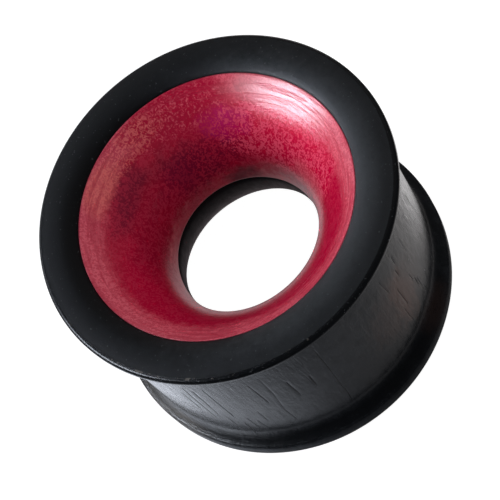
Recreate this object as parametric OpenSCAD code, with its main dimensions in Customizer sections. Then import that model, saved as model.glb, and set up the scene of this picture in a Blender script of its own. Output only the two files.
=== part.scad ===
// Double-flared ear tunnel, turned from black hardwood.
// A plug of dyed wood lines the front half of its bore.
// Lengths are in millimetres. It stands on its rear rim with the dyed face up,
// and the origin is the centre of the circle that it stands on.

/* [Waist] */
// Diameter of the waist, which is the size of the hole in the ear lobe
waist_d = 20; // [16:0.5:26]
// Length over both rims
overall_l = 14.1; // [12.5:0.1:18]
// How far each rim stands out beyond the waist
rim_h = 0.75; // [0.45:0.05:1.1]
// Length of the hollow sweep from each rim down to the waist
sweep_l = 1.4; // [1.2:0.1:2.2]

/* [Front rim] */
// Thickness of the front rim at its outside
front_rim_t = 0.6; // [0.5:0.05:1.2]
// Radius of the front rim's outer edge
front_edge_r = 0.3; // [0.15:0.05:0.35]
// Width of the black ring round the inlay
front_ring_w = 2.45; // [2:0.05:3.2]
// How far the ring's crest lies outside the inlay's edge
crest_in = 1.1; // [0.7:0.05:1.3]
// Height of the ring's crest above the inlay's edge
crest_h = 0.4; // [0.2:0.05:0.6]
// How far the ring falls from its crest to its outer edge
crest_fall = 0.12; // [0.06:0.02:0.14]

/* [Rear rim] */
// Thickness of the rear rim at its outside
rear_rim_t = 1.4; // [1:0.1:2]
// Radius of the rear rim's outer edge
rear_edge_r = 0.6; // [0.3:0.05:0.7]
// Width of the rear ring, from the bore's mouth to the rim's outside
rear_ring_w = 1.65; // [1.5:0.05:2.6]
// Radius of the lip between the bore's rear mouth and the flat that it stands on
rear_lip_r = 0.8; // [0.4:0.05:0.9]

/* [Bore] */
// Diameter of the bore at its throat
throat_d = 9.15; // [6.5:0.05:10.5]
// How far round its oval each bell of the bore turns, in degrees
bell_turn = 40; // [25:1:60]

/* [Inlay] */
// Length of the inlay along the bore, from its edge to its rear end
inlay_l = 6.35; // [5:0.05:7.5]
// Room for glue between the inlay and its seat
glue_gap = 0.03; // [0.02:0.01:0.08]
// Depth of the fine groove in the bore behind the inlay
groove_h = 0.12; // [0.05:0.01:0.2]
// Width of the fine groove in the bore behind the inlay
groove_w = 0.3; // [0.2:0.05:0.5]

/* [Hidden] */
// Steps in a short arc, in a bell and round the axis
arc_n = 8;
bell_n = 20;
turn_n = 120;
waist_r = waist_d / 2;
rim_r = waist_r + rim_h;
throat_r = throat_d / 2;
seat_r = rim_r - front_ring_w;
crest_r = seat_r + crest_in;
inlay_r = seat_r - glue_gap;
// Heights above the rear face
inlay_top = overall_l - crest_h;
shoulder_z = inlay_top - inlay_l;
bell_top = shoulder_z - groove_w;
// The rear bell's slope at its mouth, from the axis, and the mouth that meets the lip there
mouth_r = rim_r - rear_ring_w;
mouth_rise = (mouth_r - throat_r) / (1 - cos(bell_turn));
mouth_a = atan(mouth_rise * sin(bell_turn) * tan(bell_turn) / bell_top);
mouth_z = rear_lip_r * (1 - sin(mouth_a));
lip_mid_r = mouth_r + rear_lip_r * cos(mouth_a);
// The hollow sweep is an arc that leaves the waist without a corner
sweep_a = 2 * atan(rim_h / sweep_l);
sweep_r = sweep_l / sin(sweep_a);
// The ring's crown is two arcs that meet level at its crest
crown_in_r = (crest_in ^ 2 + crest_h ^ 2) / (2 * crest_h);
crown_in_a = asin(crest_in / crown_in_r);
crown_out_w = rim_r - front_edge_r - crest_r;
crown_out_r = (crown_out_w ^ 2 + crest_fall ^ 2) / (2 * crest_fall);
crown_out_a = asin(crown_out_w / crown_out_r);

// Points [radius, height] of an arc about [r, z], from angle a to angle b
function arc(r, z, radius, a, b) = [
    for (i = [0:arc_n])
        let (t = a + (b - a) * i / arc_n)
            [r + radius * cos(t), z + radius * sin(t)]
];

// Points of a bell that opens from radius r at height z to radius r2 at height z2
function bell(r, z, r2, z2) = [
    for (i = [0:bell_n])
        let (t = bell_turn * i / bell_n)
            [
                r + (r2 - r) * (1 - cos(t)) / (1 - cos(bell_turn)),
                z + (z2 - z) * sin(t) / sin(bell_turn)
            ]
];

// The rear rim, from the bore's mouth round to the waist
function rear_outline() = concat(
    arc(lip_mid_r, rear_lip_r, rear_lip_r, 180 + mouth_a, 270),
    arc(rim_r - rear_edge_r, rear_edge_r, rear_edge_r, -90, 0),
    arc(waist_r + sweep_r, rear_rim_t + sweep_l, sweep_r, 180 + sweep_a, 180)
);

// The front rim, from the waist round to the inlay's edge
function front_outline() = concat(
    arc(waist_r + sweep_r, overall_l - front_rim_t - sweep_l, sweep_r, 180, 180 - sweep_a),
    arc(rim_r - front_edge_r, overall_l - crest_fall - front_edge_r, front_edge_r, 0, 90),
    arc(crest_r, overall_l - crown_out_r, crown_out_r, 90 - crown_out_a, 90),
    arc(crest_r, overall_l - crown_in_r, crown_in_r, 90, 90 + crown_in_a)
);

// The bore of the body: the inlay's seat, the fine groove and the rear bell
function bore_outline() = concat(
    [[seat_r, shoulder_z], [throat_r + groove_h, shoulder_z]],
    bell(throat_r, bell_top, mouth_r, mouth_z)
);

module wood_body() {
    color([0.07, 0.08, 0.09])
        rotate_extrude($fn = turn_n)
            polygon(concat(rear_outline(), front_outline(), bore_outline()));
}

module dyed_inlay() {
    inlay_z = shoulder_z + glue_gap;
    color([0.66, 0.12, 0.22])
        rotate_extrude($fn = turn_n)
            polygon(concat([[inlay_r, inlay_z]], bell(throat_r, inlay_z, inlay_r, inlay_top)));
}

wood_body();
dyed_inlay();
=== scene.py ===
# A double-flared ear tunnel: a short spool of black hardwood, lined with crimson-dyed wood.
# Lengths are in metres. It stands on its rear rim, about the Z axis, with the dyed face up.
# Azimuths go round that axis in degrees, and the camera looks from azimuth -90.
import math
import random

import bpy
import numpy as np
from mathutils import Matrix, Quaternion, Vector


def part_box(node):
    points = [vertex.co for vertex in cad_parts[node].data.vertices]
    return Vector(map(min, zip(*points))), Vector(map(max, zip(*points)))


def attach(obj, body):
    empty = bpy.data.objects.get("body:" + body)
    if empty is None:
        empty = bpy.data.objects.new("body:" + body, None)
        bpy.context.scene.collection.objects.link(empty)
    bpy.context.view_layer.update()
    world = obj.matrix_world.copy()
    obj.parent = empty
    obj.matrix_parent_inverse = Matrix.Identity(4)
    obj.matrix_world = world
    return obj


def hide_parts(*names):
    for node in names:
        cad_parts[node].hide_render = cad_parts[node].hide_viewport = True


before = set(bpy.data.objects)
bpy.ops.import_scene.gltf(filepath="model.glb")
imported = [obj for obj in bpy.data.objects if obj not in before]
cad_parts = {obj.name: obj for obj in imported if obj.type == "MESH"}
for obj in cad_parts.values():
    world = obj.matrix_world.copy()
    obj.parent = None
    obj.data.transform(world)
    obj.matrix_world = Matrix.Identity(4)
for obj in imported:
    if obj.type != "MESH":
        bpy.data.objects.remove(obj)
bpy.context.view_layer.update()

bl_info = {
    "name": "Ear Tunnel",
    "version": (1, 0, 0),
    "blender": (4, 5, 0),
    "location": "3D View > Sidebar > Tunnel",
    "description": "Turns a double-flared wooden ear tunnel with a dyed inlay",
    "category": "Add Mesh",
}

MM = 0.001
BODY_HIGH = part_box("wood_body")[1]
INLAY_LOW, INLAY_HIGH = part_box("dyed_inlay")

# How many cuts each piece has round the axis, and the least turn between two of them in radians
BODY_CUTS = 320
INLAY_CUTS = 480
LEAST_TURN = 0.0004

# Points of a section that are nearer than this are one point
SAME_PLACE = 0.001 * MM

# The camera, as fitted to the outlines in the photograph
FOCAL_LENGTH = 116.396
CAMERA_ELEVATION = math.radians(59.644)
CAMERA_ROLL = math.radians(39.981)
CAMERA_DISTANCE = 96.642 * MM
CAMERA_AIM = Vector((-0.128, -0.016, 7.05)) * MM

# Long pores that show in front. Each runs through azimuths in degrees, heights in millimetres
# and shares of the full depth.
SHOWN_PORES = (
    ((-146.2, 9.0, 0.6), (-146.0, 6.4, 0.7)),
    ((-143.6, 10.1, 0.8), (-143.5, 7.7, 0.9), (-143.2, 4.8, 0.6)),
    ((-140.6, 9.8, 0.8), (-140.4, 7.6, 0.7), (-140.7, 5.7, 0.6)),
    ((-138.2, 5.0, 0.8), (-137.6, 3.0, 0.7)),
    ((-136.1, 10.3, 0.8), (-135.8, 8.4, 0.9), (-135.5, 6.8, 1.0), (-135.3, 5.6, 1.0)),
    ((-131.2, 5.2, 0.8), (-130.4, 3.6, 0.7)),
    ((-128.3, 4.6, 0.8), (-127.6, 3.3, 0.6)),
    ((-125.4, 6.2, 0.6), (-125.0, 4.6, 0.6)),
    ((-120.3, 10.4, 0.7), (-119.8, 9.2, 1.0), (-119.3, 7.5, 1.0)),
    ((-115.7, 11.0, 0.5), (-115.6, 8.5, 0.7), (-116.8, 5.7, 0.6), (-116.0, 4.0, 0.7)),
    ((-109.3, 9.3, 1.0), (-109.1, 8.6, 0.9), (-108.7, 7.2, 0.5)),
    ((-133.8, 4.1, 1.0), (-133.4, 2.6, 0.9)),
    ((-102.2, 8.8, 1.0), (-102.3, 7.5, 0.9)),
    ((-95.7, 11.4, 0.6), (-95.6, 9.2, 0.7), (-96.0, 6.6, 0.4), (-96.3, 5.6, 0.5),
     (-96.0, 4.7, 0.4), (-96.5, 3.6, 0.6), (-96.9, 2.9, 1.0)),
    ((-65.6, 10.8, 0.5), (-64.7, 9.1, 0.5)),
    ((-63.0, 5.7, 0.5), (-62.7, 4.1, 0.4)),
    ((-56.0, 10.7, 0.8), (-56.2, 9.9, 0.8)),
    ((-57.6, 9.3, 0.9), (-57.5, 8.8, 0.9)),
    ((-61.2, 7.9, 0.7), (-60.8, 5.8, 0.6)),
    ((-53.4, 6.9, 0.9), (-53.2, 6.3, 0.8)),
)
PORE_SEED = 31


def length(name, description, default):
    """A length that a user can change"""
    return bpy.props.FloatProperty(
        name=name, description=description, default=default, min=0.0,
        precision=5, unit="LENGTH", subtype="DISTANCE")


def colour(name, description, default):
    """A colour that a user can change"""
    return bpy.props.FloatVectorProperty(
        name=name, description=description, default=default, size=3,
        min=0.0, max=1.0, subtype="COLOR")


class TunnelSizes(bpy.types.PropertyGroup):
    """Sizes of the turned pieces"""
    rim_radius: length("Rim radius", "Radius of both rims", BODY_HIGH[0])
    overall: length("Length", "Length over both rims", BODY_HIGH[2])
    rim_height: length("Rim height", "How far the rims stand out beyond the waist", 0.75 * MM)
    sweep: length("Sweep", "Length of the hollow sweep from a rim to the waist", 1.4 * MM)
    front_rim: length("Front rim", "Thickness of the front rim at its outside", 0.6 * MM)
    front_edge: length("Front edge", "Radius of the front rim's outer edge", 0.3 * MM)
    crest_in: length("Crest place", "How far the ring's crest lies outside the inlay", 1.1 * MM)
    crest_height: length("Crest height", "Height of the crest above the inlay's edge",
                         BODY_HIGH[2] - INLAY_HIGH[2])
    crest_fall: length("Crest fall", "Fall from the crest to the outer edge", 0.12 * MM)
    rear_rim: length("Rear rim", "Thickness of the rear rim at its outside", 1.4 * MM)
    rear_edge: length("Rear edge", "Radius of the rear rim's outer edge", 0.6 * MM)
    rear_ring: length("Rear ring", "Width of the rear ring", 1.65 * MM)
    rear_lip: length("Rear lip", "Radius of the lip at the rear mouth", 0.8 * MM)
    throat_radius: length("Throat radius", "Radius of the bore at its throat", 4.575 * MM)
    inlay_radius: length("Inlay radius", "Radius of the inlay's outer edge", INLAY_HIGH[0])
    inlay_start: length("Inlay start", "Height of the inlay's rear end", INLAY_LOW[2])
    glue_gap: length("Glue gap", "Room for glue round the inlay", 0.03 * MM)
    groove_depth: length("Groove depth", "Depth of the groove behind the inlay", 0.12 * MM)
    groove_width: length("Groove width", "Width of the groove behind the inlay", 0.3 * MM)
    pore_width: length("Pore width", "Width of a long pore in the waist", 0.11 * MM)
    pore_depth: length("Pore depth", "Depth of a long pore in the waist", 0.02 * MM)
    bell_turn: bpy.props.FloatProperty(
        name="Bell turn", description="How far round its oval each bell turns",
        default=math.radians(40), unit="ROTATION", subtype="ANGLE")


class TunnelColours(bpy.types.PropertyGroup):
    """Colours of the two woods"""
    # The black wood's darker and greyer sides are painted shade and painted light
    painted_shade_black: colour("Dark side", "Black wood at its darker side", (0.0025, 0.0030, 0.0038))
    painted_light_grey: colour("Grey side", "Black wood at its greyer side", (0.0130, 0.0145, 0.0170))
    # The ring's greyer side is painted light
    ring_painted_light: colour("Ring side", "The matt ring at its greyer side", (0.0330, 0.0365, 0.0400))
    brown: colour("Brown", "Brown stains on the waist and above the rear rim", (0.0560, 0.0260, 0.0180))
    # Rubbed pale wood, also a painted highlight low on the rear rim and painted glints on the front edge at
    # the left
    worn_and_highlight: colour("Worn wood", "Where the rims are rubbed or chipped pale", (0.1050, 0.0960, 0.0850))
    speck: colour("Specks", "Pale specks in the end grain", (0.0600, 0.0680, 0.0720))
    pore: colour("Pores", "Bottom of the pores and of the scratch", (0.0015, 0.0015, 0.0018))
    pink: colour("Pink", "Dyed wood between its flecks", (0.7600, 0.0720, 0.1420))
    scarlet: colour("Scarlet", "Flecks in the brightest zone", (0.5300, 0.0004, 0.0360))
    crimson: colour("Crimson", "Flecks where more dye went in", (0.4300, 0.0006, 0.0320))
    # Darker dye together with painted shade deep in the bell
    deep: colour("Deep crimson", "The smooth deep zone of the bell", (0.3000, 0.0006, 0.0240))
    salmon: colour("Salmon", "Rubbed wood towards the inlay's edge", (0.7600, 0.1200, 0.1700))
    orange: colour("Orange", "Warm tint at one side", (0.8000, 0.1700, 0.1500))
    magenta: colour("Magenta", "Violet patch", (0.4800, 0.0060, 0.1500))
    maroon: colour("Maroon", "Dark violet zone", (0.1500, 0.0030, 0.0300))
    # The lip colour is paler wood and a painted sheen at the throat
    lip: colour("Lip", "Greyish pink at the throat", (0.6200, 0.1700, 0.1950))
    # A painted highlight: milky pink laid where the softbox's highlight falls on the inlay
    painted_highlight: colour("Haze", "Milky pink where the polish hazes the dye", (0.6600, 0.3400, 0.3600))
    # A painted shadow at the throat's edge, at azimuth 57
    throat_shadow: colour("Smudge", "Dark smudge at the throat", (0.0600, 0.0200, 0.0300))


class Flow:
    """A value, vector or colour that runs from one node to the next"""

    def __init__(self, recipe, socket):
        self.recipe = recipe
        self.socket = socket

    def _worked(self, operation, first, second=None):
        """A Math node, or a Vector Math node where a vector comes in"""
        values = {0: first} if second is None else {0: first, 1: second}
        vectors = [v for v in values.values() if isinstance(v, Flow) and v.socket.type == "VECTOR"]
        kind = "ShaderNodeVectorMath" if vectors else "ShaderNodeMath"
        return self.recipe.node(kind, {"operation": operation}, values)

    def __add__(self, other):
        return self._worked("ADD", self, other)

    def __radd__(self, other):
        return self._worked("ADD", other, self)

    def __sub__(self, other):
        return self._worked("SUBTRACT", self, other)

    def __rsub__(self, other):
        return self._worked("SUBTRACT", other, self)

    def __mul__(self, other):
        return self._worked("MULTIPLY", self, other)

    def __rmul__(self, other):
        return self._worked("MULTIPLY", other, self)

    def __truediv__(self, other):
        return self._worked("DIVIDE", self, other)

    def __rtruediv__(self, other):
        return self._worked("DIVIDE", other, self)

    def root(self):
        """The square root"""
        return self._worked("SQRT", self)

    def size(self):
        """The value without its sign"""
        return self._worked("ABSOLUTE", self)

    def arcsine(self):
        """The angle whose sine this is, in radians"""
        return self._worked("ARCSINE", self)

    def largest(self, other):
        """The larger of this and another value"""
        return self._worked("MAXIMUM", self, other)

    def along(self, direction):
        """How far a vector reaches along a direction"""
        return self.recipe.node("ShaderNodeVectorMath", {"operation": "DOT_PRODUCT"},
                                {0: self, 1: tuple(direction)}, output="Value")

    def step(self, low, high, bottom=0.0, top=1.0):
        """Goes smoothly from bottom at low to top at high, and low may be the larger of the two"""
        if low > high:
            low, high, bottom, top = high, low, top, bottom
        return self.recipe.node(
            "ShaderNodeMapRange", {"interpolation_type": "SMOOTHSTEP"},
            {"Value": self, "From Min": low, "From Max": high, "To Min": bottom, "To Max": top})


class Recipe:
    """The nodes of one finish"""

    def __init__(self, tree):
        self.tree = tree
        tree.nodes.clear()

    def node(self, kind, settings=None, inputs=None, output=0):
        """Adds one node: its settings come first, and then the values or links of its sockets"""
        made = self.tree.nodes.new(kind)
        for key, value in (settings or {}).items():
            setattr(made, key, value)
        for key, value in (inputs or {}).items():
            if isinstance(value, Flow):
                self.tree.links.new(value.socket, made.inputs[key])
            else:
                made.inputs[key].default_value = value
        return Flow(self, made.outputs[output]) if len(made.outputs) else made

    def blend(self, mask, first, second):
        """Mixes two colours by a mask, on the Mix node's colour sockets"""
        first, second = (c if isinstance(c, Flow) else (*c, 1.0)[:4] for c in (first, second))
        return self.node("ShaderNodeMix", {"data_type": "RGBA"}, {0: mask, 6: first, 7: second}, output=2)

    def coats(self, base, *coats):
        """Lays colours over a base in turn, each through its own mask"""
        for mask, tint in coats:
            base = self.blend(mask, base, tint)
        return base

    def either(self, mask, first, second):
        """Mixes two shaders by a mask"""
        return self.node("ShaderNodeMixShader", None, {0: mask, 1: first, 2: second})

    def glow(self, tint, strength):
        """A shader that gives light of its own"""
        return self.node("ShaderNodeEmission", None, {"Color": (*tint, 1.0), "Strength": strength})

    def parts(self, vector):
        """The three numbers of a vector"""
        split = self.node("ShaderNodeSeparateXYZ", None, {0: vector})
        return [Flow(self, s) for s in split.socket.node.outputs]

    def vector(self, x, y, z):
        """A vector of three numbers"""
        return self.node("ShaderNodeCombineXYZ", None, {0: x, 1: y, 2: z})

    def noise(self, place, scale, detail=2.0, rough=0.5, warp=0.0):
        """A cloudy value between about 0 and 1"""
        return self.node("ShaderNodeTexNoise", None,
                         {"Vector": place, "Scale": scale, "Detail": detail,
                          "Roughness": rough, "Distortion": warp})

    def bump(self, height, distance):
        """A normal pushed about by a height"""
        return self.node("ShaderNodeBump", None, {"Height": height, "Distance": distance})

    def surface(self, sockets):
        """A principled surface that goes to the output"""
        shader = self.node("ShaderNodeBsdfPrincipled", None, sockets)
        self.node("ShaderNodeOutputMaterial", None, {"Surface": shader})


def new_finish(name):
    """An empty material"""
    finish = bpy.data.materials.new(name)
    finish.use_nodes = True
    return finish, Recipe(finish.node_tree)


def arc(radius_at, height_at, radius, start, stop, steps):
    """Points of an arc in a section, as radius and height"""
    points = []
    for i in range(steps + 1):
        turn = start + (stop - start) * i / steps
        points.append((radius_at + radius * math.cos(turn), height_at + radius * math.sin(turn)))
    return points


def bell(sizes, radius, height, mouth_radius, mouth_height, steps):
    """Points of a bell that opens from a throat to its mouth"""
    full = sizes.bell_turn
    points = []
    for i in range(steps + 1):
        turn = full * i / steps
        out = (1 - math.cos(turn)) / (1 - math.cos(full))
        up = math.sin(turn) / math.sin(full)
        points.append((radius + (mouth_radius - radius) * out, height + (mouth_height - height) * up))
    return points


def body_section(s):
    """The closed section of the black body, and how much each point belongs to its outer skin"""
    waist = s.rim_radius - s.rim_height
    seat = s.inlay_radius + s.glue_gap
    shoulder = s.inlay_start - s.glue_gap
    bell_top = shoulder - s.groove_width
    mouth = s.rim_radius - s.rear_ring
    rise = (mouth - s.throat_radius) / (1 - math.cos(s.bell_turn))
    slope = math.atan(rise * math.sin(s.bell_turn) * math.tan(s.bell_turn) / bell_top)
    mouth_height = s.rear_lip * (1 - math.sin(slope))
    lip_middle = mouth + s.rear_lip * math.cos(slope)
    sweep_turn = 2 * math.atan(s.rim_height / s.sweep)
    sweep_radius = s.sweep / math.sin(sweep_turn)
    sweep_middle = waist + sweep_radius
    crest = seat + s.crest_in
    inner_crown = (s.crest_in ** 2 + s.crest_height ** 2) / (2 * s.crest_height)
    inner_turn = math.asin(s.crest_in / inner_crown)
    outer_width = s.rim_radius - s.front_edge - crest
    outer_crown = (outer_width ** 2 + s.crest_fall ** 2) / (2 * s.crest_fall)
    outer_turn = math.asin(outer_width / outer_crown)
    half = math.pi / 2
    rear_start = s.rear_rim + s.sweep
    front_start = s.overall - s.front_rim - s.sweep
    front_middle = s.overall - s.crest_fall - s.front_edge
    rows = 46
    walls = [(waist, rear_start + (front_start - rear_start) * i / rows) for i in range(1, rows)]
    runs = (
        (arc(lip_middle, s.rear_lip, s.rear_lip, math.pi + slope, 3 * half, steps=7), 0.0),
        (arc(s.rim_radius - s.rear_edge, s.rear_edge, s.rear_edge, -half, 0, steps=7), 1.0),
        (arc(sweep_middle, rear_start, sweep_radius, math.pi + sweep_turn, math.pi, steps=10), 1.0),
        (walls, 1.0),
        (arc(sweep_middle, front_start, sweep_radius, math.pi, math.pi - sweep_turn, steps=10), 1.0),
        (arc(s.rim_radius - s.front_edge, front_middle, s.front_edge, 0, half, steps=6), 1.0),
        (arc(crest, s.overall - outer_crown, outer_crown, half - outer_turn, half, steps=6), 0.5),
        (arc(crest, s.overall - inner_crown, inner_crown, half, half + inner_turn, steps=9), 0.0),
        ([(seat, shoulder), (s.throat_radius + s.groove_depth, shoulder)], 0.0),
        (bell(s, s.throat_radius, bell_top, mouth, mouth_height, steps=22), 0.0),
    )
    points = [p for run, skin in runs for p in run]
    skins = [skin for run, skin in runs for p in run]
    keep = [i for i, p in enumerate(points) if math.dist(p, points[i - 1]) > SAME_PLACE]
    return [points[i] for i in keep], [skins[i] for i in keep]


def inlay_section(s):
    """The closed section of the dyed inlay"""
    top = s.overall - s.crest_height
    face = bell(s, s.throat_radius, s.inlay_start, s.inlay_radius, top, steps=90)
    rows = 8
    back = [(s.inlay_radius, top + (s.inlay_start - top) * i / rows) for i in range(1, rows + 1)]
    return face + back


def turn_on_lathe(name, section, azimuths, skins=None, pores=()):
    """Sweeps a closed section round the axis, with slim pores that wander in its skin"""
    across = len(section)
    radius, height = np.array(section).T
    skin = np.array(skins if skins else [0.0] * across)
    turn = np.array(azimuths)[:, None]
    grid_radius = np.repeat(radius[None, :], len(azimuths), 0)
    grid_height = np.repeat(height[None, :], len(azimuths), 0)
    marks = np.zeros_like(grid_radius)
    wander = np.zeros_like(grid_radius)
    for pore in pores:
        away = np.abs((turn - pore["azimuth"] + math.pi) % (2 * math.pi) - math.pi)
        weight = np.interp(grid_height, pore["heights"], pore["weights"], left=0.0, right=0.0)
        mark = np.clip(1 - away / pore["half_angle"], 0, 1) * weight * skin[None, :]
        marks = np.maximum(marks, mark)
        grid_radius -= mark * pore["depth"]
        follow = np.clip(1 - (away - pore["half_angle"]) / pore["reach"], 0, 1)
        wander += follow * np.interp(grid_height, pore["heights"], pore["drifts"])
    bent = turn + wander
    places = np.stack([grid_radius * np.cos(bent), grid_radius * np.sin(bent), grid_height], -1)
    first = np.arange(len(azimuths))[:, None] * across + np.arange(across)[None, :]
    second = np.roll(first, -1, 0)
    faces = np.stack([first, second, np.roll(second, -1, 1), np.roll(first, -1, 1)], -1)
    mesh = bpy.data.meshes.new(name)
    mesh.from_pydata(places.reshape(-1, 3).tolist(), [], faces.reshape(-1, 4).tolist())
    mesh.polygons.foreach_set("use_smooth", [True] * len(mesh.polygons))
    mesh.attributes.new("pore", "FLOAT", "POINT").data.foreach_set("value", marks.reshape(-1))
    mesh.update()
    piece = bpy.data.objects.new(name, mesh)
    bpy.context.collection.objects.link(piece)
    return piece


def place_in_mm(r):
    """The place on the piece in millimetres, as a vector and its three parts"""
    place = r.node("ShaderNodeTexCoord", output="Object") * (1 / MM, 1 / MM, 1 / MM)
    return place, *r.parts(place)


def towards(x, y, degrees):
    """How far out a place lies towards an azimuth"""
    side = math.radians(degrees)
    return x * math.cos(side) + y * math.sin(side)


def off_azimuth(x, y, radius, degrees, wide):
    """0 at an azimuth, and 1 where a patch so many degrees wide to either side ends"""
    return (1 - towards(x, y, degrees) / radius) / (1 - math.cos(math.radians(wide)))


def black_wood_finish(colours, sizes):
    """Black hardwood: fibres along the axis, satin on the waist and matt on the ring and in the bore, with
    painted light and painted shade
    """
    finish, r = new_finish("black wood")
    place, x, y, z = place_in_mm(r)
    radius = (x * x + y * y).root()

    # Zones, by height and radius in millimetres
    ring = z.step(13.1, 13.6)
    edge = radius.step(10.42, 10.52)
    inside = radius.step(9.75, 9.3) * z.step(13.4, 12.9)
    matt = (ring * (1 - edge)).largest(inside)
    outside = radius.step(9.8, 9.95)
    # Painted shade in the hollow of the rear sweep and under the front rim
    hollow = z.step(2.5, 1.9) * z.step(1.25, 1.6) * outside
    under_rim_shade = radius.step(10.1, 10.45) * z.step(11.6, 12.6)
    rim_edge = radius.step(10.44, 10.50) * radius.step(10.62, 10.56) * z.step(13.86, 13.92)
    front_left = (y * -1 - x).step(10.0, 12.5)
    flank = z.step(1.5, 1.2) * radius.step(10.5, 10.65)

    # Grain along the axis, turning marks round it, and pores
    along = place * (1.0, 1.0, 0.06)
    fibre = r.noise(along, 9.0, 4.0, 0.65)
    grain = r.noise(place * (1.0, 1.0, 0.35), 2.6, 4.0, 0.7)
    streak = r.noise(place * (1.0, 1.0, 0.13), 3.4, 4.0, 0.65)
    cloud = r.noise(place, 0.45, 2.0, 0.5)
    smoke = r.noise(place, 1.1, 3.0, 0.6)
    turned = r.noise(r.vector(x * 0.2, y * 0.2, (z - radius) * 3.2), 2.4, 3.0, 0.65)
    fine_pore = r.noise(along + (3.1, 0.0, 0.0), 14.0, 1.0, 0.4).step(0.64, 0.72) * (1 - matt)
    cut_pore = r.node("ShaderNodeAttribute", {"attribute_name": "pore"}, output="Fac")
    speck = r.noise(place, 6.5, 1.0, 0.4).step(0.70, 0.78) * ring
    # Pale chips on the front edge at the left, partly painted glints
    chips_and_glints = r.noise(place, 3.4, 2.0, 0.5).step(0.60, 0.64) * rim_edge * front_left

    def soft_area(degrees, height, wide, tall, warp=0.8, full=0.0):
        """A soft area on the outside, at an azimuth and a height, wide in degrees and tall in millimetres,
        for stains and for painted light and shade
        """
        up = (z - height) / tall
        far = off_azimuth(x, y, radius, degrees, wide) + up * up + (grain - 0.5) * (2 * warp)
        return far.step(1.0, full) * outside

    # A scratch low on the waist at azimuth -145, which climbs at its far end
    beside = towards(x, y, -55)
    climb = (beside * -1 - 0.35).largest(0.0) * 2.6
    scratch = (z - 3.5 - climb).size().step(0.09, 0.03) * beside.size().step(0.9, 0.7)
    scratch = scratch * (x * -1).step(6.0, 6.5)
    mark = cut_pore.largest(scratch * 0.8)

    # Painted light and shade: black that turns greyer towards one side, on the waist
    side = towards(x, y, -60) * (MM / sizes.rim_radius) + (cloud - 0.5) * 0.5 + (grain - 0.5) * 0.5
    painted_light_share = side.step(-1.0, 0.9) * (1 - under_rim_shade * 0.85) * (1 - hollow * x.step(6.8, 8.6, 0.9, 0.5))
    # Painted shade low on the waist at azimuth -22
    painted_light_share = painted_light_share * (1 - soft_area(-22, 2.9, 16, 1.5) * 0.8) * streak.step(0.34, 0.66, 0.7, 1.15)
    painted_light_share = painted_light_share * smoke.step(0.36, 0.64, 0.6, 1.25)
    # The ring is greyer towards azimuth -45 as painted light, and darker out to its edge as painted shade
    ring_painted_light = towards(x, y, -45) / radius + (cloud - 0.5) * 0.8 + (grain - 0.5) * 1.3
    ring_light_share = ring_painted_light.step(-0.6, 1.25) * radius.step(9.2, 10.2, 1.0, 0.42) * (1 - edge * 0.85)
    # A rubbed pale patch low on the rear rim at the left, partly a painted highlight
    worn_and_highlight = soft_area(-170, 1.2, 24, 1.6, 0.15, 0.1) * turned.step(0.40, 0.62, 0.35, 1.0)
    wood = r.coats(
        r.blend(painted_light_share, colours.painted_shade_black, colours.painted_light_grey),
        (ring, r.blend(ring_light_share, colours.painted_shade_black, colours.ring_painted_light)),
        # Painted shade low on the front of the waist
        (soft_area(-80, 4.0, 36, 3.8, 0.9) * 0.7, colours.painted_shade_black),
        (soft_area(-62, 7.0, 20, 4.0, 0.7) * 0.35, colours.brown),
        (soft_area(-60, 6.8, 8, 3.6, 0.8) * 0.9, colours.brown),
        (soft_area(-53, 1.9, 12, 1.3, 0.6) * 0.15, colours.brown),
        (worn_and_highlight * 0.6, colours.worn_and_highlight),
        (speck * 0.6, colours.speck),
        (chips_and_glints * 0.8, colours.worn_and_highlight),
        ((fine_pore * 0.5).largest(mark), colours.pore))

    ruts = turned * radius.step(10.02, 10.2) * (1 - ring)
    waves = (streak * 1.6 + grain * 1.8) * (1 - ring) + grain * 0.8
    height = fibre * 0.6 + waves + ruts * 1.5 - fine_pore * 0.5 - scratch * 2.5
    height = height + r.noise(place, 12.0, 2.0) * 0.3
    r.surface({
        "Base Color": wood,
        "Roughness": fibre * 0.10 + matt * 0.28 + flank * 0.2 + mark * 0.4 + (grain - 0.5) * 0.25 + 0.17,
        "Specular IOR Level": 0.2,
        "Normal": r.bump(height, 0.012 * MM),
    })
    return finish


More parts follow.
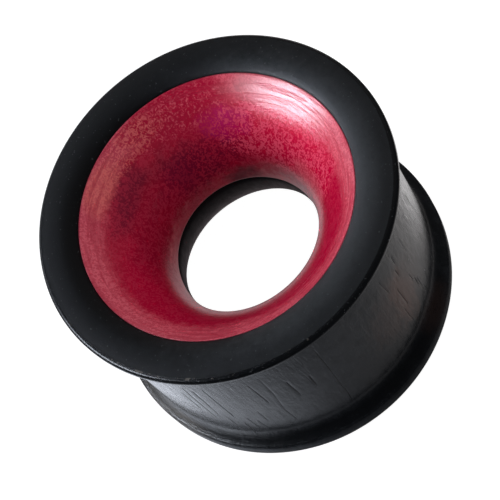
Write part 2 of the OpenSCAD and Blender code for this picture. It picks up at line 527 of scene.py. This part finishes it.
def dyed_wood_finish(colours, sizes):
    """Pale wood dyed crimson: short flecks, turning marks, and clouds where the dye went in more or less,
    with painted light and shade, a painted highlight, and painted sheen and shadow at the throat
    """
    finish, r = new_finish("crimson dyed wood")
    place, x, y, z = place_in_mm(r)
    radius = (x * x + y * y).root()

    # Depth is 0 at the inlay's edge and 1 at its throat
    throat = sizes.inlay_start / MM
    rise = (z - throat) / ((sizes.overall - sizes.crest_height) / MM - throat)
    depth = 1 - (rise * math.sin(sizes.bell_turn)).largest(0.0).arcsine() / sizes.bell_turn

    cloud = r.noise(place, 0.9, 3.0, 0.6)
    soft = r.noise(place, 2.2, 3.0, 0.6)
    worm = r.noise(place * (1.0, 1.0, 0.7), 4.2, 2.0, 0.55, 1.4)
    grit = r.noise(place, 8.5, 1.0, 0.5)
    mottle = worm * 0.68 + grit * 0.32
    fleck = mottle.step(0.46, 0.54)
    bare = mottle.step(0.46, 0.39)
    marks = r.noise(r.vector(x * 2.5 / radius, y * 2.5 / radius, depth * 42), 1.0, 2.0, 0.6)
    outer = (depth + (soft - 0.5) * 0.10).step(0.30, 0.06)
    line = marks.step(0.48, 0.62) * outer

    def patch(degrees, middle, wide, tall, warp=0.5, full=0.0):
        """A soft patch at an azimuth and a depth, wide in degrees and tall as a share of the bell"""
        down = (depth - middle) / tall
        far = off_azimuth(x, y, radius, degrees, wide) + down * down + (cloud - 0.5) * (2 * warp)
        return far.step(1.0, full)

    # Paler dye with painted light on the side that faces the softbox; deeper crimson with painted shade deep
    # in the far side of the bell
    paler_dye_and_light = patch(15, 0.42, 55, 0.42, 0.45, 0.45)
    shade = patch(120, 0.66, 72, 0.44, 0.5, 0.3)
    band = (depth + (soft - 0.5) * 0.16 + patch(-70, 0.2, 45, 0.6, 0.3) * 0.09).step(0.24, 0.10)
    # Paler wood and a painted sheen at the throat, with less of it at the far side
    less_sheen = patch(92, 1.0, 58, 0.34, 0.4)
    lip = (depth + (soft - 0.5) * 0.3).step(0.80, 0.96) * (0.75 - less_sheen * 0.55)
    dye = r.coats(
        r.blend(paler_dye_and_light, colours.crimson, colours.scarlet),
        (shade, colours.deep),
        ((1 - fleck) * paler_dye_and_light.largest(0.2), colours.pink),
        (band * (0.9 - fleck * 0.4), colours.salmon),
        (patch(74, 0.10, 34, 0.18, 0.7, 0.4) * (0.75 + fleck * 0.25), colours.crimson),
        (patch(76, 0.17, 38, 0.19, 0.6, 0.2) * bare * 0.55, colours.salmon),
        (patch(128, 0.30, 28, 0.15, 0.7) * (0.28 + fleck * 0.36), colours.maroon),
        (patch(78, 0.60, 42, 0.28, 0.9) * fleck * 0.75, colours.maroon),
        (patch(94, 0.60, 12, 0.26) * 0.4, colours.maroon),
        (patch(55, 0.35, 19, 0.18, 0.8) * (0.15 + fleck * 0.5), colours.magenta),
        (patch(103, 0.12, 24, 0.13, 0.6, 0.2) * (0.5 - fleck * 0.5), colours.orange),
        (patch(127, 0.10, 19, 0.13, 0.4, 0.1) * (0.75 - fleck * 0.35), colours.orange),
        (patch(-22, 0.60, 36, 0.17, 0.5, 0.3) * (0.75 - fleck * 0.4), colours.salmon),
        (lip, colours.lip),
        # Painted shadow at the throat's edge
        (patch(57, 0.92, 20, 0.16, 0.8) * 0.7, colours.throat_shadow),
        # Painted highlight over the softbox's highlight
        (patch(24, 0.09, 34, 0.16, 0.4, 0.1) * 0.4, colours.painted_highlight),
        (line * 0.5, colours.crimson))
    r.surface({
        "Base Color": dye,
        "Roughness": fleck * 0.03 + line * 0.10 + 0.21,
        "Specular IOR Level": 0.4,
        "Normal": r.bump(worm * 0.5 + grit * 0.3 - line * 0.65, 0.015 * MM),
    })
    return finish


def spread_azimuths(count, pores=()):
    """Even azimuths round the axis in radians, with three more at each pore"""
    decimals = 5
    turns = {round(2 * math.pi * i / count, decimals) for i in range(count)}
    for pore in pores:
        for share in (-1.0, 0.0, 1.0):
            turns.add(round((pore["azimuth"] + share * pore["half_angle"]) % (2 * math.pi), decimals))
    ordered = sorted(turns)
    return [t for i, t in enumerate(ordered) if i == 0 or t - ordered[i - 1] > LEAST_TURN]


def seeded_pores(draw):
    """Clusters of long pores where the photograph shows none, in degrees and millimetres"""
    clusters = 15
    first = -44.0
    spacing = 16.5
    lowest = 2.6
    lines = []
    for cluster in range(clusters):
        middle = first + cluster * spacing + draw.uniform(-5.0, 5.0)
        for strand in range(draw.randint(3, 6)):
            degrees = middle + (strand - 2) * 1.7 + draw.uniform(-0.4, 0.4)
            top = draw.uniform(5.0, 11.2)
            bottom = max(top - draw.uniform(0.8, 4.5), lowest)
            weight = draw.uniform(0.3, 1.0)
            lines.append([(degrees + draw.uniform(-0.15, 0.15), top + (bottom - top) * share, weight * fade)
                          for share, fade in ((0.0, 0.6), (0.35, 1.0), (0.7, 0.8), (1.0, 0.5))])
    return lines


def waist_pores(s):
    """The long pores of the waist: the ones that show in front, and seeded ones on the other sides"""
    half_angle = s.pore_width / 2 / (s.rim_radius - s.rim_height)
    run_out = 0.25 * MM
    narrow_reach, wide_reach = math.radians(0.6), math.radians(1.4)
    straight_within = 0.008
    pores = []
    for line in (*SHOWN_PORES, *seeded_pores(random.Random(PORE_SEED))):
        steps = sorted((height * MM, math.radians(degrees), weight) for degrees, height, weight in line)
        middle = sum(d for z, d, w in steps) / len(steps)
        drifts = [d - middle for z, d, w in steps]
        wanders = max(drifts) - min(drifts) > straight_within
        pores.append({
            "azimuth": middle,
            "heights": [steps[0][0] - run_out, *(z for z, d, w in steps), steps[-1][0] + run_out],
            "weights": [0.0, *(w for z, d, w in steps), 0.0],
            "drifts": [drifts[0], *drifts, drifts[-1]],
            "half_angle": half_angle,
            "reach": wide_reach if wanders else narrow_reach,
            "depth": s.pore_depth})
    return pores


class TUNNEL_OT_body(bpy.types.Operator):
    """Turns the black body with its two rims"""
    bl_idname = "tunnel.body"
    bl_label = "Black body"

    def execute(self, context):
        sizes = context.scene.tunnel_sizes
        section, skins = body_section(sizes)
        pores = waist_pores(sizes)
        body = turn_on_lathe("black_body", section, spread_azimuths(BODY_CUTS, pores), skins, pores)
        body.data.materials.append(black_wood_finish(context.scene.tunnel_colours, sizes))
        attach(body, "root")
        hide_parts("wood_body")
        return {"FINISHED"}


class TUNNEL_OT_inlay(bpy.types.Operator):
    """Turns the dyed inlay that lines the front of the bore"""
    bl_idname = "tunnel.inlay"
    bl_label = "Dyed inlay"

    def execute(self, context):
        sizes = context.scene.tunnel_sizes
        inlay = turn_on_lathe("crimson_inlay", inlay_section(sizes), spread_azimuths(INLAY_CUTS))
        inlay.data.materials.append(dyed_wood_finish(context.scene.tunnel_colours, sizes))
        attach(inlay, "root")
        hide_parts("dyed_inlay")
        return {"FINISHED"}


class TUNNEL_OT_stage(bpy.types.Operator):
    """Sets the pale floor, the soft light and the camera"""
    bl_idname = "tunnel.stage"
    bl_label = "Stage"

    def execute(self, context):
        lay_floor()
        light_studio(context.scene)
        set_camera(context.scene)
        return {"FINISHED"}


def lay_floor():
    """A pale floor that glows like a light table, and that gloss mirrors as dark round the tunnel"""
    reach = 3.0
    corners = [(-reach, -reach, 0), (reach, -reach, 0), (reach, reach, 0), (-reach, reach, 0)]
    mesh = bpy.data.meshes.new("floor")
    mesh.from_pydata(corners, [], [(0, 1, 2, 3)])
    floor = bpy.data.objects.new("floor", mesh)
    bpy.context.collection.objects.link(floor)
    finish, r = new_finish("pale floor")
    x, y, _ = r.parts(r.node("ShaderNodeTexCoord", output="Object"))
    away = (x * x + y * y).root()

    # What the camera sees is nearly white, and what lights the tunnel from below is dimmer
    seen = r.node("ShaderNodeLightPath", output="Is Camera Ray")
    white = r.node("ShaderNodeBsdfPrincipled", None, {
        "Base Color": (0.3, 0.3, 0.3, 1.0), "Roughness": 0.9, "Specular IOR Level": 0.0,
        "Emission Color": away.step(8.4 * MM, 9.4 * MM, 0.99, 0.93) * seen + (1 - seen) * 0.3,
        "Emission Strength": 1.0})

    # Gloss sees through the floor to the sky, except for a painted shadow in the bore, under the rear rim and
    # far out at the left, and a painted pale pink glow in the bore that is brighter towards +Y
    clear = r.node("ShaderNodeBsdfTransparent")
    bore = away.step(9.0 * MM, 8.0 * MM)
    rim_shade = away.step(11.4 * MM, 10.9 * MM) * 0.7
    far_shade = away.step(15.0 * MM, 18.5 * MM) * x.step(-6.0 * MM, -10.0 * MM) * 0.85
    lit_share = bore * y.step(1.0 * MM, 7.5 * MM, 0.067, 1.0)
    shade = r.either(lit_share, r.glow((0.0, 0.0, 0.0), 0.0), r.glow((1.0, 0.84, 0.88), 0.6))
    mirrored = r.either(rim_shade.largest(bore).largest(far_shade), clear, shade)
    top_side = r.either(r.node("ShaderNodeLightPath", output="Is Glossy Ray"), white, mirrored)
    both = r.either(r.node("ShaderNodeNewGeometry", output="Backfacing"), top_side, clear)
    r.node("ShaderNodeOutputMaterial", None, {"Surface": both})
    mesh.materials.append(finish)


def light_studio(scene):
    """White for the camera, soft light for matt surfaces, and for gloss a sky with panels and a softbox"""
    world = bpy.data.worlds.new("studio")
    scene.world = world
    world.use_nodes = True
    r = Recipe(world.node_tree)
    sky = r.node("ShaderNodeTexCoord", output="Generated")
    x, y, z = r.parts(sky)

    # Panels that gloss mirrors, by direction: +X is right, +Y is behind the tunnel and +Z is up
    left_glow = x.step(-0.05, -0.4) * (y.step(-0.6, 0.1, 0.0, 0.85) + y.step(0.1, 0.4, 0.0, 1.15))
    right_glow = x.step(0.05, 0.4) * (y.step(-0.5, 0.2, 0.0, 0.45) + y.step(0.15, 0.4, 0.0, 1.0))
    below = (left_glow + right_glow) * y.step(0.68, 0.5) + y.step(0.3, -0.4, 0.1, 0.22)
    high_left = x.step(-0.2, -0.7, 0.0, 0.55) * y.step(0.0, 0.4) * z.step(0.75, 0.5)
    above = z.step(-0.05, 0.5) * (y.step(-0.6, 0.5, 0.02, 0.24) + high_left)
    behind = y.step(0.45, 0.9) * z.step(-0.15, 0.1) * z.step(0.55, 0.35) * x.step(0.3, -0.35) * 0.9
    back_wall = y.step(0.62, 0.85) * z.step(0.25, 0.0) * 0.9
    left_wall = x.step(-0.55, -0.80) * y.step(-0.65, 0.05, 0.0, 2.4)
    left_wall = left_wall * y.step(0.55, 0.35) * z.step(0.10, -0.40)
    glint = sky.along(away_from(156, 58)).step(0.986, 0.996) * 5.0
    panels = above + behind + back_wall + below * z.step(-0.60, -0.80) + left_wall + glint
    mirrored = panels + softbox_image(sky) + 0.03

    soft = x.step(-0.8, 0.8, 0.36, 0.66) * z.step(-0.35, 0.1)
    gloss = r.node("ShaderNodeLightPath", output="Is Glossy Ray")
    seen = r.node("ShaderNodeLightPath", output="Is Camera Ray")
    strength = (mirrored * gloss + soft * (1 - gloss)) * (1 - seen) + seen
    tint = r.blend(x.step(-0.5, 0.6), (0.91, 0.97, 1.09), (1.03, 0.99, 0.98))
    tint = r.blend(seen, tint, (1.0, 1.0, 1.0))
    back = r.node("ShaderNodeBackground", None, {"Color": tint, "Strength": strength})
    r.node("ShaderNodeOutputWorld", None, {"Surface": back})
    side_lamp("left softbox", azimuth=165, elevation=16, width=0.46, height=0.13, brightness=32.0)
    scene.view_settings.view_transform = "Standard"


def softbox_image(sky):
    """The softbox at the left as gloss mirrors it: a bright oval with a soft skirt"""
    half_width = 0.46
    half_height = 0.19
    oval_strength = 29.0
    skirt_strength = 1.8
    facing = away_from(167, 22).to_track_quat("Z", "Y") @ Quaternion((0, 0, 1), math.radians(22))
    sideways = sky.along(facing @ Vector((1, 0, 0))) / half_width
    upwards = sky.along(facing @ Vector((0, 1, 0))) / half_height
    front = sky.along(facing @ Vector((0, 0, 1))).step(0.0, 0.3)
    off_middle = sideways * sideways + upwards * upwards
    oval = off_middle.step(1.0, 0.15) * oval_strength
    skirt = off_middle.step(3.2, 0.5) * skirt_strength
    return (oval + skirt) * front


def away_from(azimuth, elevation):
    """The direction to something that stands at an azimuth and an elevation"""
    turn, rise = math.radians(azimuth), math.radians(elevation)
    return Vector((math.cos(rise) * math.cos(turn), math.cos(rise) * math.sin(turn), math.sin(rise)))


def side_lamp(name, azimuth, elevation, width, height, brightness):
    """The softbox's light on matt surfaces, in watts per square metre. Its mirror image is in the sky."""
    distance = 0.5
    middle = Vector((0, 0, 7 * MM))
    lamp = bpy.data.lights.new(name, "AREA")
    lamp.shape = "RECTANGLE"
    lamp.size = width
    lamp.size_y = height
    lamp.energy = brightness * width * height
    away = away_from(azimuth, elevation)
    holder = bpy.data.objects.new(name, lamp)
    holder.location = away * distance + middle
    holder.rotation_euler = away.to_track_quat("Z", "Y").to_euler()
    holder.visible_camera = False
    holder.visible_glossy = False
    bpy.context.collection.objects.link(holder)


def set_camera(scene):
    """The photograph's view: high in front, and rolled"""
    lens = bpy.data.cameras.new("camera")
    lens.lens = FOCAL_LENGTH
    lens.sensor_width = 36.0
    lens.clip_start = 1 * MM
    camera = bpy.data.objects.new("camera", lens)
    bpy.context.collection.objects.link(camera)
    away = Vector((0.0, -math.cos(CAMERA_ELEVATION), math.sin(CAMERA_ELEVATION)))
    level = Vector((1.0, 0.0, 0.0))
    upright = away.cross(level)
    side = level * math.cos(CAMERA_ROLL) - upright * math.sin(CAMERA_ROLL)
    turn = Matrix((side, away.cross(side), away)).transposed()
    camera.matrix_world = Matrix.Translation(CAMERA_AIM + away * CAMERA_DISTANCE) @ turn.to_4x4()
    scene.camera = camera


class TUNNEL_PT_panel(bpy.types.Panel):
    """The tunnel's pieces, sizes and colours"""
    bl_idname = "TUNNEL_PT_panel"
    bl_label = "Ear Tunnel"
    bl_space_type = "VIEW_3D"
    bl_region_type = "UI"
    bl_category = "Tunnel"

    def draw(self, context):
        for maker in MAKERS:
            self.layout.operator(maker.bl_idname)
        for group in (context.scene.tunnel_sizes, context.scene.tunnel_colours):
            for name in group.__annotations__:
                self.layout.prop(group, name)


MAKERS = (TUNNEL_OT_body, TUNNEL_OT_inlay, TUNNEL_OT_stage)
CLASSES = (TunnelSizes, TunnelColours, *MAKERS, TUNNEL_PT_panel)


def register():
    for piece in CLASSES:
        bpy.utils.register_class(piece)
    bpy.types.Scene.tunnel_sizes = bpy.props.PointerProperty(type=TunnelSizes)
    bpy.types.Scene.tunnel_colours = bpy.props.PointerProperty(type=TunnelColours)


def unregister():
    del bpy.types.Scene.tunnel_sizes
    del bpy.types.Scene.tunnel_colours
    for piece in reversed(CLASSES):
        bpy.utils.unregister_class(piece)


def main():
    register()
    bpy.ops.tunnel.body()
    bpy.ops.tunnel.inlay()
    bpy.ops.tunnel.stage()


if __name__ == "__main__":
    main()
